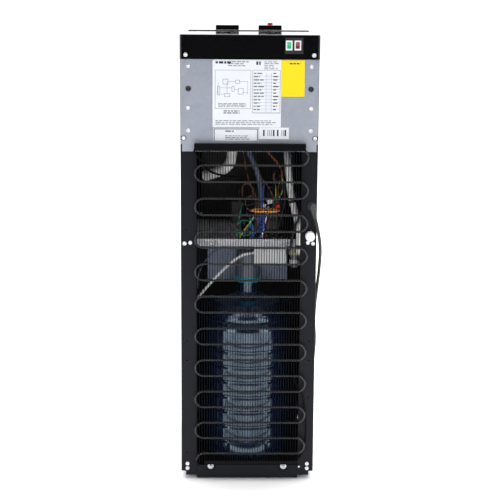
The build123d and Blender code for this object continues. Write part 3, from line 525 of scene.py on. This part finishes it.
M = {
    "black_sheet": powder_coat("black_sheet", shade(17, 18, 24), 0.4, 0.16),
    "galvanised": galvanised("galvanised", shade(162, 168, 180), 0.4),
    # A lighter, less metallic copy of the galvanised finish: the steel is real, its extra brightness is a painted
    # reflection of the bright backdrop.
    "steel_with_painted_reflection": galvanised("steel_with_painted_reflection", shade(222, 222, 228), 0.36, 0.15),
    # A darker, bluer copy of the galvanised finish: the baffle plates are galvanised steel, and the extra darkness is
    # painted shade.
    "steel_with_painted_shade": galvanised("steel_with_painted_shade", shade(140, 152, 174), 0.4),
    "gloss_black": polished("gloss_black", shade(7, 7, 9)),
    "matte_black": moulded("matte_black", shade(17, 17, 19), 0.5),
    "stainless": brushed("stainless", shade(146, 147, 150), 0.34, (90, 90, 1)),
    "trim_steel": brushed("trim_steel", shade(150, 150, 152), 0.25, (1, 60, 60)),
    "white_plastic": moulded("white_plastic", shade(226, 227, 228), 0.42),
    "cream_plastic": moulded("cream_plastic", shade(206, 198, 176), 0.45),
    "label_white": paper("label_white", shade(214, 217, 222)),
    "label_yellow": paper("label_yellow", shade(232, 204, 4)),
    "ink_grey": moulded("ink_grey", shade(104, 107, 116), 0.6),
    "ink_dark": moulded("ink_dark", shade(30, 31, 36), 0.6),
    "ink_pale": moulded("ink_pale", shade(205, 209, 218), 0.6),
    "green_rocker": polished("green_rocker", shade(36, 178, 122), 0.15),
    "red_rocker": polished("red_rocker", shade(120, 44, 54), 0.15),
    "red_plastic": polished("red_plastic", shade(232, 38, 30), 0.2),
    "lens": polished("lens", shade(190, 226, 210), 0.1),
    "zinc": zinc("zinc", shade(226, 227, 230), 0.3),
    "coil_black": powder_coat("coil_black", shade(9, 9, 11), 0.35, 0.08),
    "tube_black": powder_coat("tube_black", shade(24, 25, 28), 0.2, 0.5),
    "copper": copper("copper", shade(150, 92, 66)),
    "bronze": copper("bronze", shade(224, 150, 92), 0.28),
    "foam": soft_foam("foam", shade(238, 237, 236)),
    "steel": zinc("steel", shade(176, 178, 182), 0.35),
    "probe_grey": polished("probe_grey", shade(120, 130, 148), 0.18),
    "cap_teal": moulded("cap_teal", shade(24, 190, 214), 0.3),
    "hose_white": silicone("hose_white", shade(244, 244, 243)),
    "hose_blue_grey": silicone("hose_blue_grey", shade(92, 104, 124)),
    "rubber_black": moulded("rubber_black", shade(22, 22, 23), 0.48, 900, 0.0001),
    "grey_plastic": moulded("grey_plastic", shade(46, 47, 50), 0.45),
    "wire_green": silicone("wire_green", shade(24, 160, 110), 0.4),
    "wire_blue": silicone("wire_blue", shade(36, 84, 178), 0.4),
    "wire_earth": silicone("wire_earth", shade(206, 222, 48), 0.4),
    "wire_red": silicone("wire_red", shade(196, 40, 34), 0.4),
    "wire_brown": silicone("wire_brown", shade(110, 62, 40), 0.4),
    "wire_black": silicone("wire_black", shade(26, 26, 28), 0.4),
}
M["bottle_blue"] = (Finish("bottle_blue", shade(11, 30, 64), 0.2)
                    .set(IOR=2.2, Coat_Weight=0.6, Coat_Roughness=0.1)
                    .set(Specular_Tint=(0.60, 0.80, 1.0, 1.0))
                    .mottle(20, 0.08).uneven(16, 0.12, 0.2).relief(9, 0.12, 0.0008))
NODE_FINISH = {
    "left_side_panel": "black_sheet", "right_side_panel": "black_sheet", "base_pan": "black_sheet",
    "rear_upper_panel": "galvanised", "top_cover": "gloss_black", "front_frame": "gloss_black",
    "top_trim_bar": "trim_steel", "drip_grille": "stainless", "door_skin": "stainless",
    "hot_key": "gloss_black", "cold_key": "gloss_black", "child_lock": "red_plastic",
    "cold_rocker": "green_rocker", "hot_rocker": "red_rocker", "indicator_lenses": "lens",
    "niche_liner": "matte_black", "taps": "matte_black", "hot_plunger": "white_plastic",
    "cold_plunger": "white_plastic", "hot_spring": "steel", "cold_spring": "steel",
    "drip_tray": "matte_black", "door_liner": "matte_black", "hinge_brackets": "zinc",
    "bottle": "bottle_blue", "bottle_collar": "cap_teal", "probe_head": "probe_grey",
    "dip_tube": "white_plastic", "condenser_tube": "tube_black", "condenser_wires": "coil_black",
    "condenser_bars": "coil_black", "compressor": "tube_black", "compressor_mounts": "rubber_black",
    "terminal_cover": "matte_black", "filter_drier": "bronze", "cold_tank": "foam",
    "evaporator_coil": "copper", "hot_tank": "foam", "tank_heater": "zinc",
    "control_box": "white_plastic", "drain_fitting": "grey_plastic", "drain_cap": "white_plastic",
    "strain_relief": "grey_plastic", "plug": "rubber_black", "screws": "zinc",
    "foot_front_left": "rubber_black", "foot_front_right": "rubber_black",
    "foot_rear_left": "rubber_black", "foot_rear_right": "rubber_black",
}


def wear(obj, finish):
    obj.data.materials.clear()
    obj.data.materials.append(M[finish].mat)
    return obj


def dress_nodes():
    for node, finish in NODE_FINISH.items():
        wear(NODES[node], finish)


def islands(bm):
    """The faces of each separate shell in a mesh."""
    left = set(bm.faces)
    while left:
        shell = [left.pop()]
        for face in shell:
            for edge in face.edges:
                for other in edge.link_faces:
                    if other in left:
                        left.discard(other)
                        shell.append(other)
        yield shell


def taken_from(node, name, finish, wanted, slot=None):
    """A piece made of those of a node's solids that wanted(low, high), in millimetres, accepts."""
    bm = bmesh.new()
    bm.from_mesh(NODES[node].data)
    bmesh.ops.remove_doubles(bm, verts=bm.verts, dist=1e-6)
    unwanted = []
    for shell in islands(bm):
        points = [v.co / MM for f in shell for v in f.verts]
        low = Vector([min(p[i] for p in points) for i in range(3)])
        high = Vector([max(p[i] for p in points) for i in range(3)])
        if not wanted(low, high):
            unwanted += shell
    bmesh.ops.delete(bm, geom=unwanted, context="FACES")
    data = bpy.data.meshes.new(name)
    bm.to_mesh(data)
    bm.free()
    for p in data.polygons:
        p.use_smooth = True
    data.set_sharp_from_angle(angle=math.radians(32))
    piece = add(name, data, NODES[node]["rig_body"], slot)
    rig.replaces(piece, node)
    return wear(piece, finish)


def split_nodes():
    """Nodes of more than one material: each of their solids is told by its height or width."""
    # The shelf takes the lighter copy of the galvanised steel, whose extra brightness is a painted reflection.
    taken_from("mid_shelf", "shelf_plate", "steel_with_painted_reflection", lambda lo, hi: lo.z > 500, "galvanised")
    # The baffle plates take the darker copy of the galvanised steel, whose darkness is painted shade.
    taken_from("mid_shelf", "baffle_plate", "steel_with_painted_shade", lambda lo, hi: lo.z < 500, "galvanised")
    taken_from("switch_housing", "switch_plate", "matte_black", lambda lo, hi: hi.x - lo.x > 20,
               "matte_black")
    taken_from("switch_housing", "switch_frames", "white_plastic", lambda lo, hi: hi.x - lo.x < 20,
               "white_plastic")
    taken_from("screws", "push_plugs", "matte_black", lambda lo, hi: 910 < hi.z < 930, "matte_black")
    taken_from("screws", "fasteners", "zinc", lambda lo, hi: not 910 < hi.z < 930, "zinc")
    taken_from("pump", "pump_motor", "steel", lambda lo, hi: hi.z < 540, "steel")
    taken_from("pump", "pump_head", "cream_plastic", lambda lo, hi: 545 < hi.z < 555, "white_plastic")
    # The bracket takes the same lighter steel, whose extra brightness is a painted reflection of the backdrop.
    taken_from("pump", "pump_bracket", "steel_with_painted_reflection", lambda lo, hi: hi.z > 555, "galvanised")


# ---- labels: plain sheets with rules, boxes and bars, no lettering --------------------------------
LABEL_BACK = 159.02   # the panel's outer face is at 159
LABEL_FACE = 159.3
INK = 0.04


def sheet_label(name, x, z, finish):
    bm = bmesh.new()
    add_box(bm, (x[0], LABEL_BACK, z[0]), (x[1], LABEL_FACE, z[1]))
    piece = add(name, mesh_from(bm, name, smooth=False), "cabinet", "label_paper")
    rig.replaces(piece, "labels")
    return wear(soft_edges(piece, 0.0001, 2), finish)


def printed(name, finish, bars, face=LABEL_FACE):
    """Flat marks on a label: each bar is (x0, x1, z0, z1)."""
    bm = bmesh.new()
    for x0, x1, z0, z1 in bars:
        add_box(bm, (min(x0, x1), face - 0.01, z0), (max(x0, x1), face + INK, z1))
    piece = add(name, mesh_from(bm, name, smooth=False), "cabinet", "label_paper")
    return wear(piece, finish)


def outline(x, z, line=0.7):
    """The four sides of a frame."""
    (x0, x1), (z0, z1) = x, z
    return [(x0, x1, z0, z0 + line), (x0, x1, z1 - line, z1),
            (x0, x0 + line, z0, z1), (x1 - line, x1, z0, z1)]


def writing(x, z, rows, height, rng, fill=(0.55, 1.0)):
    """Rows of plain bars, as long and broken as lines of small print."""
    bars = []
    step = (z[1] - z[0]) / rows
    for row in range(rows):
        at = x[1]
        end = x[1] - (x[1] - x[0]) * rng.uniform(*fill)
        while at > end:
            word = rng.uniform(4, 13)
            bars.append((max(at - word, end), at, z[1] - row * step - height, z[1] - row * step))
            at -= word + 2.0
    return bars


def labels():
    rng = random.Random(7)
    sheet_label("rating_label", (-70.0, 82.5), (834.6, 984.5), "label_white")
    sheet_label("notice_label", (-122.2, -70.4), (903.0, 984.5), "label_yellow")
    sheet_label("strip_label", (-19.8, 80.6), (801.0, 832.5), "label_white")
    sheet_label("bar_label", (-88.2, -21.4), (808.2, 834.2), "label_white")
    dark = writing((40, 76), (973, 981), 1, 5.0, rng, (1, 1))
    dark += writing((-24, -14), (972, 981), 1, 7.5, rng, (1, 1))
    dark += writing((14, 58), (863, 872), 2, 2.2, rng, (0.8, 1))
    dark += outline((-18.6, 79.4), (802.2, 831.3), 1.6)
    dark += writing((34, 54), (822, 827), 1, 2.6, rng, (1, 1))
    dark += writing((-112, -88), (972, 978), 1, 3.0, rng, (1, 1))
    grey = writing((0, 48), (968, 981), 3, 2.0, rng, (0.7, 1))
    grey += writing((-66, -32), (962, 981), 5, 1.6, rng)
    grey += outline((-2.5, 77), (876, 962), 0.8)
    grey += outline((-68, -6), (866, 962), 0.8)
    grey += writing((6, 70), (879, 888), 3, 1.6, rng, (0.9, 1))
    grey += writing((-60, 76), (838, 850), 3, 1.8, rng, (0.9, 1))
    grey += writing((-8, 54), (805, 816), 3, 1.8, rng, (0.8, 1))
    # A plain block diagram on the left and a table on the right.
    blocks = [((48, 60), (930, 942)), ((22, 32), (932, 940)), ((44, 56), (902, 910)),
              ((14, 26), (908, 922)), ((66, 72), (906, 926)), ((34, 40), (914, 926))]
    for x, z in blocks:
        grey += outline(x, z, 0.9)
    wires = [(32, 48, 936), (26, 34, 918), (40, 66, 922), (56, 66, 908), (4, 22, 936), (4, 14, 912)]
    grey += [(x0, x1, z, z + 0.7) for x0, x1, z in wires]
    grey += [(x, x + 0.7, 908, 936) for x in (4.0, 50.0, 70.0)]
    rows = 12
    row_height = 88 / rows
    for row in range(rows):
        z = 868 + row * row_height
        grey.append((-68, -6, z, z + 0.5))
        grey += writing((-34, -9), (z + 1, z + row_height), 1, 2.6, rng, (0.5, 1))
        dark += writing((-64, -52), (z + 1, z + row_height), 1, 2.2, rng, (0.4, 1))
    grey += [(-48.5, -48.0, 868, 956), (-36.5, -36.0, 868, 956)]
    dark += [(x, x + 3.6, 815, 829) for x in (-82, -65, -56, -34)]
    grey += [(x, x + 1.6, 815, 829) for x in (-77, -73, -50, -46, -42)]
    printed("label_ink_dark", "ink_dark", dark)
    printed("label_ink_grey", "ink_grey", grey)
    printed("label_tint", "ink_pale", [(-48, -36.5, 868.6, 955)], LABEL_FACE - 0.02)
    bm = bmesh.new()
    add_box(bm, (-122.9, LABEL_BACK, 902.2), (-122.2, LABEL_FACE - 0.05, 984.4))
    add_box(bm, (-122.9, LABEL_BACK, 902.2), (-70.4, LABEL_FACE - 0.05, 902.95))
    wear(add("notice_backing", mesh_from(bm, "notice_backing", False), "cabinet", "label_paper"), "wire_blue")


# ---- hoses, refrigerant lines and wires ------------------------------------------------------------
def soft_line(name, points, radius, finish, slot, *nodes):
    """A round tube through millimetre control points, in place of the nodes it redraws."""
    tube = mesh_of(spline_curve(name, points, radius))
    tube.name = name
    for p in tube.polygons:
        p.use_smooth = True
    piece = add(name, tube, "cabinet", slot)
    if nodes:
        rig.replaces(piece, *nodes)
    return wear(piece, finish)


def ring_clamp(name, at, along, radius, width, finish="steel"):
    """A worm-drive band round a hose."""
    bm = bmesh.new()
    along = Vector(along).normalized()
    turn = along.to_track_quat("Z", "Y").to_matrix().to_4x4()
    place = Matrix.Translation(Vector(at) * MM) @ turn
    sides = 40
    loops = []
    half = width / 2
    outer = radius + 0.9
    for r, z in ((radius, -half), (outer, -half), (outer, half), (radius, half)):
        loops.append([bm.verts.new(place @ (Vector((r * math.cos(a), r * math.sin(a), z)) * MM))
                      for a in (2 * math.pi * k / sides for k in range(sides))])
    for i in range(4):
        one, two = loops[i], loops[(i + 1) % 4]
        for k in range(sides):
            n = (k + 1) % sides
            bm.faces.new((one[k], one[n], two[n], two[k]))
    screw = bmesh.ops.create_cube(bm, size=1.0)["verts"]
    for v in screw:
        v.co = place @ (Vector((v.co.x * 5 + radius + 3, v.co.y * 9, v.co.z * (width - 1))) * MM)
    piece = add(name, mesh_from(bm, name, False), "cabinet", "zinc")
    return wear(soft_edges(piece, 0.0004), finish)


COMPRESSOR = (-48.0, 52.0)
LANE = 161.5   # the gap between the condenser's wires and the cabinet, where the lines run


def refrigeration():
    """Black lines outside the cabinet, bare copper inside."""
    end_x = 118.0
    foot = 52.17
    soft_line("liquid_line", [(end_x, 169, foot), (end_x, 169, foot - 14), (end_x - 10, 150, 37),
                              (end_x - 34, 144, 34)], 2.4, "coil_black", "coil_black", "refrigerant_lines")
    soft_line("liquid_riser", [(-98, 140, 34), (-109, 150, 38), (-115, LANE, 46), (-127, LANE, 60),
                               (-136, LANE, 90), (-137, LANE, 130), (-132, LANE, 190), (-125, LANE, 216),
                               (-114, LANE, 228), (-108, 146, 240), (-107, 140, 268)],
              2.0, "coil_black", "coil_black", "refrigerant_lines")
    soft_line("discharge_line", [(114.1, 169, 787.7), (123, 169, 787.7), (123, LANE, 774), (110, LANE, 764),
                                 (104, 146, 748), (86, 120, 724), (50, 90, 712), (22, 62, 706)],
              2.4, "coil_black", "coil_black", "refrigerant_lines")
    x, y = COMPRESSOR
    soft_line("suction_line", [(x - 30, y + 10, 697.5), (x - 30, y + 12, 712), (x - 22, y + 28, 726),
                               (x - 10, y + 41, 722), (x - 8, y + 45, 708), (x - 18, y + 47, 699),
                               (x - 29, y + 45, 706), (x - 30, y + 42, 724), (x - 18, y + 40, 746),
                               (x + 20, y + 40, 786)], 3.0, "copper", "copper", "refrigerant_lines")
    soft_line("capillary_tube", [(-3.6, 138, 641), (6, 138, 645), (9, 136, 662), (-2, 130, 676),
                                 (-14, 126, 668), (-6, 118, 690), (8, 112, 730), (14, 104, 780)],
              1.1, "copper", "copper", "refrigerant_lines")


DRAIN = (-138.8, 588.0)


def drain():
    """The wide drain hose, and the thinner one that joins it to the pump."""
    route = [(-88, 72, 791.9), (-88, 72, 768), (-90, 104, 752), (-91, 114, 724), (-95, 118, 684),
             (-105, 121, 640), (-114, 120, 610), (DRAIN[0], 118, DRAIN[1]), (DRAIN[0], 144.2, DRAIN[1])]
    line = even_steps(centreline(route), 0.0016)

    def wall(i):
        """A smooth hose with a faint ripple, 0.35 mm deep."""
        return (8.55 - 0.35 * (0.5 + 0.5 * math.cos(math.pi * i / 1.5))) * MM

    hose = swept("drain_hose_skin", line, wall, 28)
    piece = add("drain_hose_skin", hose, "cabinet", "hose_white")
    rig.replaces(piece, "drain_hose")
    wear(piece, "hose_white")
    ring_clamp("drain_hose_clamp", (-100.6, 120, 660), (-10, 3, -44), 8.6, 7, "matte_black")
    soft_line("pump_hose", [(-108, 122, 630), (-111, 140, 624), (-112.4, 154, 610), (-112.5, 157.2, 592),
                            (-112.5, 157.0, 566), (-113.4, 155, 553), (-114, 149.2, 545)],
              4.6, "hose_white", "hose_white", "drain_hose")
    ring_clamp("pump_hose_clamp", (-112.6, 157.1, 562), (0, 0, 1), 4.5, 6, "matte_black")


def corrugated_hose():
    """White hose with a raised ring every few millimetres."""
    route = [(-12.3, 130, 540), (2, 131, 539), (22, 132, 531), (48, 133, 511), (76, 134, 482),
             (102, 134, 452), (124, 134, 424), (135, 132, 386), (138, 130, 320), (139, 130, 250),
             (138, 130, 180), (139, 130, 110), (139, 128, 60), (132, 120, 34)]
    line = even_steps(centreline(route), 0.001)
    per_ring = 5

    def wall(i):
        return (3.0 + 0.45 * math.cos(2 * math.pi * i / per_ring)) * MM

    piece = add("ribbed_hose", swept("ribbed_hose", line, wall, 18), "cabinet", "hose_white")
    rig.replaces(piece, "corrugated_hose")
    wear(piece, "hose_white")


def water_hoses():
    """The cold tank's hose in its foam sleeve, and the tube up from the bottle."""
    feed = [(38, 82, 791.9), (38, 82, 760), (46, 84, 734), (74, 78, 718), (104, 66, 708)]
    line = even_steps(centreline(feed), 0.0012)
    rng = random.Random(3)
    per_lump, per_turn = 6, 14
    lumps = [rng.uniform(-0.35, 0.35) for _ in range(len(line) // per_lump + 2)]

    def wrap(i):
        """Foam sleeve bound with tape: soft swells between the turns."""
        k, f = divmod(i / per_lump, 1)
        drift = lumps[int(k)] * (1 - f) + lumps[int(k) + 1] * f
        pinch = 0.5 * math.exp(-((i % per_turn) - per_turn / 2) ** 2 / 3)
        return (12.0 + drift - pinch) * MM

    piece = add("insulated_hose_wrap", swept("insulated_hose_wrap", line, wrap, 30), "cabinet", "foam")
    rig.replaces(piece, "water_hoses")
    wear(piece, "foam")
    lift = [(6, 104, 800), (2, 107, 772), (-10, 113, 750), (-20, 118, 724), (-27, 121, 690),
            (-30, 123, 640), (-18, 126, 602), (-4, 124, 574), (-4, 118, 548),
            (-3, 90, 540), (-1, 48, 545), (0, 0, 546), (0, 0, 528.1)]
    soft_line("bottle_hose_tube", lift, 5.5, "hose_blue_grey", "hose_blue_grey", "water_hoses")


def connector(name, at, size, tilt, finish):
    """A small crimp housing with a latch and two ribs."""
    bm = bmesh.new()
    w, d, h = size
    add_box(bm, (-w / 2, -d / 2, -h / 2), (w / 2, d / 2, h / 2))
    add_box(bm, (-w / 5, d / 2, -h / 3), (w / 5, d / 2 + 1.2, h / 3))
    for s in (-1, 1):
        add_box(bm, (s * w / 2 - 0.5, -d / 3, -h / 2), (s * w / 2 + 0.5, d / 3, h / 4))
    place = Matrix.Translation(Vector(at) * MM) @ Matrix.Rotation(math.radians(tilt), 4, "Y")
    bmesh.ops.transform(bm, matrix=place, verts=bm.verts)
    piece = add(name, mesh_from(bm, name, False), "cabinet", "white_plastic")
    return wear(soft_edges(piece, 0.0004, 2), finish)


def looped(centre, radius, start, end, step=30):
    """Points round a slack loop that faces the back, angles in degrees from +X."""
    x, y, z = centre
    drift = 0.006 * radius
    angles = [math.radians(a) for a in range(start, end + 1, step)]
    return [(x + radius * math.cos(a), y + drift * k, z + radius * math.sin(a))
            for k, a in enumerate(angles)]


def wiring():
    """The leads that hang behind the compressor, down to the control box."""
    runs = [
        ("lead_green", "wire_green", 1.3,
         [(14, 106, 652), (18, 126, 640)]
         + looped((8.5, 143, 601.5), 18.5, 20, 350)
         + [(30, 145, 594), (26, 147, 580)]),
        ("lead_blue_a", "wire_blue", 1.5,
         [(-42, 134, 640)]
         + looped((-20, 142, 608), 17, 150, 560)
         + [(-26, 146, 580)]),
        ("lead_blue_d", "wire_blue", 1.4,
         [(-46, 132, 646), (-36, 138, 634)]
         + looped((-19, 145, 604), 12.5, 110, 400)),
        ("lead_blue_b", "wire_blue", 1.5,
         [(-34, 132, 700), (-30, 136, 662), (-36, 141, 630), (-30, 144, 604), (-14, 145, 590),
          (-6, 145, 581)]),
        ("lead_blue_c", "wire_blue", 1.5,
         [(6, 136, 636), (-6, 141, 622), (-2, 144, 604), (8, 144, 592), (12, 144, 580)]),
        ("lead_earth_a", "wire_earth", 1.3,
         [(-60, 122, 706), (-62, 128, 684), (-60, 131, 664), (-48, 132, 656)]),
        ("lead_earth_b", "wire_earth", 1.3,
         [(-76, 122, 712), (-78, 129, 690), (-72, 132, 672), (-58, 132, 658)]),
        ("lead_earth_c", "wire_earth", 1.3,
         [(-12, 142, 628), (0, 145, 610), (14, 146, 592), (20, 146, 580)]),
        ("lead_red", "wire_red", 1.3,
         [(-22, 131, 650), (-26, 137, 634), (-22, 141, 616), (-26, 143, 600)]),
        ("lead_brown", "wire_brown", 1.4,
         [(-70, 120, 708), (-66, 129, 690), (-68, 134, 668), (-56, 136, 652), (-50, 138, 632),
          (-44, 141, 606), (-40, 144, 582)]),
        ("lead_black_a", "wire_black", 1.4,
         [(-80, 124, 700), (-84, 132, 668), (-76, 139, 632), (-66, 144, 600), (-62, 146, 580)]),
        ("lead_black_b", "wire_black", 2.4,
         [(-116, 140, 640), (-113, 156, 626), (-104, 161, 608), (-99, 160, 586), (-97, 158, 566),
          (-93, 156.6, 550), (-88, 153.4, 544)]),
        ("lead_brown_b", "wire_brown", 1.5,
         [(14, 104, 668), (17, 108, 688), (6, 110, 701), (-9, 112, 692), (-15, 114, 674),
          (-18, 118, 654)]),
        ("lead_brown_c", "wire_brown", 1.3,
         [(-12, 112, 742), (-24, 116, 730), (-26, 120, 716), (-40, 124, 700), (-52, 128, 682),
          (-56, 130, 664)]),
        ("lead_black_c", "wire_black", 1.5,
         [(22, 108, 684), (26, 114, 668), (18, 120, 654), (4, 126, 650), (-14, 130, 656),
          (-34, 132, 662)]),
        ("lead_black_d", "wire_black", 1.5,
         [(-70, 122, 720), (-78, 128, 700), (-74, 133, 680), (-60, 135, 664), (-52, 138, 640),
          (-54, 142, 610), (-52, 146, 582)]),
        ("overflow_tube", "hose_blue_grey", 1.8,
         [(18, 100, 553), (48, 100, 551), (74, 101, 541), (91, 102, 526), (104, 103, 509),
          (113, 104, 492), (118, 104, 474), (119, 104, 448)]),
        ("sense_tube", "hose_white", 2.0,
         [(-44, 128, 648), (-42, 136, 630), (-36, 141, 612), (-32, 144, 594), (-30, 146, 580)]),
    ]
    for name, finish, radius, points in runs:
        soft_line(name, points, radius, finish, "wire_colours", "wire_harness")
    ring_clamp("harness_tie", (-62, 132.5, 665), (0.2, 0.1, 1), 4.2, 2.5, "matte_black")
    connector("plug_white", (-48, 133, 662), (13, 8, 11), 12, "white_plastic")
    connector("plug_white_small", (-34, 135, 652), (9, 6, 8), -20, "white_plastic")
    connector("plug_red", (-66, 134, 650), (8, 6, 7), 25, "red_plastic")


# ---- front: temperature dots -----------------------------------------------------------------------
def disc(name, at, radius, thick, finish, sides=40):
    """A thin round inlay that faces the front."""
    bm = bmesh.new()
    bmesh.ops.create_cone(bm, cap_ends=True, segments=sides, radius1=radius * MM, radius2=radius * MM,
                          depth=thick * MM)
    place = Matrix.Translation(Vector(at) * MM) @ Matrix.Rotation(math.pi / 2, 4, "X")
    bmesh.ops.transform(bm, matrix=place, verts=bm.verts)
    piece = add(name, mesh_from(bm, name, False), "cabinet", "white_plastic")
    return wear(soft_edges(piece, 0.0001, 2), finish)


def front_marks():
    disc("hot_dot", (-53.5, -172.1, 1001), 5.0, 0.5, "red_plastic")
    disc("cold_dot", (53.5, -172.1, 1001), 5.0, 0.5, "wire_blue")


# ---- studio ---------------------------------------------------------------------------------------
def surroundings():
    """A bright backdrop behind the machine and a dimmer room on the camera's side."""
    world = bpy.data.worlds.new("studio")
    world.use_nodes = True
    tree = world.node_tree
    background = tree.nodes["Background"]
    background.inputs["Strength"].default_value = 1.25
    split = tree.nodes.new("ShaderNodeSeparateXYZ")
    tree.links.new(tree.nodes.new("ShaderNodeTexCoord").outputs["Generated"], split.inputs["Vector"])
    # The ramp runs from straight ahead of the camera to straight behind it.
    ramp = tree.nodes.new("ShaderNodeValToRGB")
    span = tree.nodes.new("ShaderNodeMapRange")
    span.inputs["From Min"].default_value = -1.0
    tree.links.new(split.outputs["Y"], span.inputs["Value"])
    tree.links.new(span.outputs["Result"], ramp.inputs["Fac"])
    ramp.color_ramp.elements[0].position = 0.36
    ramp.color_ramp.elements[0].color = (1, 1, 1, 1)
    ramp.color_ramp.elements[1].position = 0.72
    ramp.color_ramp.elements[1].color = (0.22, 0.23, 0.24, 1)
    for at, grey in ((0.92, 0.20), (0.97, 0.03)):
        stop = ramp.color_ramp.elements.new(at)
        stop.color = (grey, grey, grey, 1)
    tree.links.new(ramp.outputs["Color"], background.inputs["Color"])
    bpy.context.scene.world = world


def softbox(name, at, towards, size, power):
    light = bpy.data.lights.new(name, "AREA")
    light.shape = "RECTANGLE"
    light.size, light.size_y = size
    light.energy = power
    obj = bpy.data.objects.new(name, light)
    aim = (Vector(towards) - Vector(at)).to_track_quat("-Z", "Y")
    obj.matrix_world = Matrix.Translation(at) @ aim.to_matrix().to_4x4()
    bpy.context.scene.collection.objects.link(obj)


def studio():
    surroundings()
    bpy.context.scene.view_settings.view_transform = "Standard"
    softbox("left_light", (2.0, 2.9, 1.5), (0, 0, 0.6), (1.2, 2.4), 34)
    softbox("right_light", (-2.0, 2.9, 1.5), (0, 0, 0.6), (1.2, 2.4), 34)
    softbox("front_light", (-1.2, -3.0, 2.2), (0, 0, 0.5), (1.6, 1.6), 18)
    softbox("floor_light", (0, -1.8, 5.0), (0, -1.8, 0), (8.0, 8.0), 620)
    bm = bmesh.new()
    corners = [bm.verts.new((x, y, 0)) for x, y in ((-5, -6), (5, -6), (5, 3.4), (-5, 3.4))]
    bm.faces.new(corners)
    floor = add("floor", mesh_from(bm, "floor"), body=None)
    M["floor"] = Finish("floor", (0.93, 0.93, 0.93, 1), 0.6).mottle(3, 0.01).set(Specular_IOR_Level=0.3)
    wear(floor, "floor")
    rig.stage(floor)


wear(power_cord(), "rubber_black")
dress_nodes()
split_nodes()
labels()
refrigeration()
drain()
corrugated_hose()
water_hoses()
wiring()
front_marks()
studio()

with open("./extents.json", "w") as out:
    json.dump({"cad": [list(c) for c in CAD_BOX], "visual": [list(c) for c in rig.bounds()]}, out)
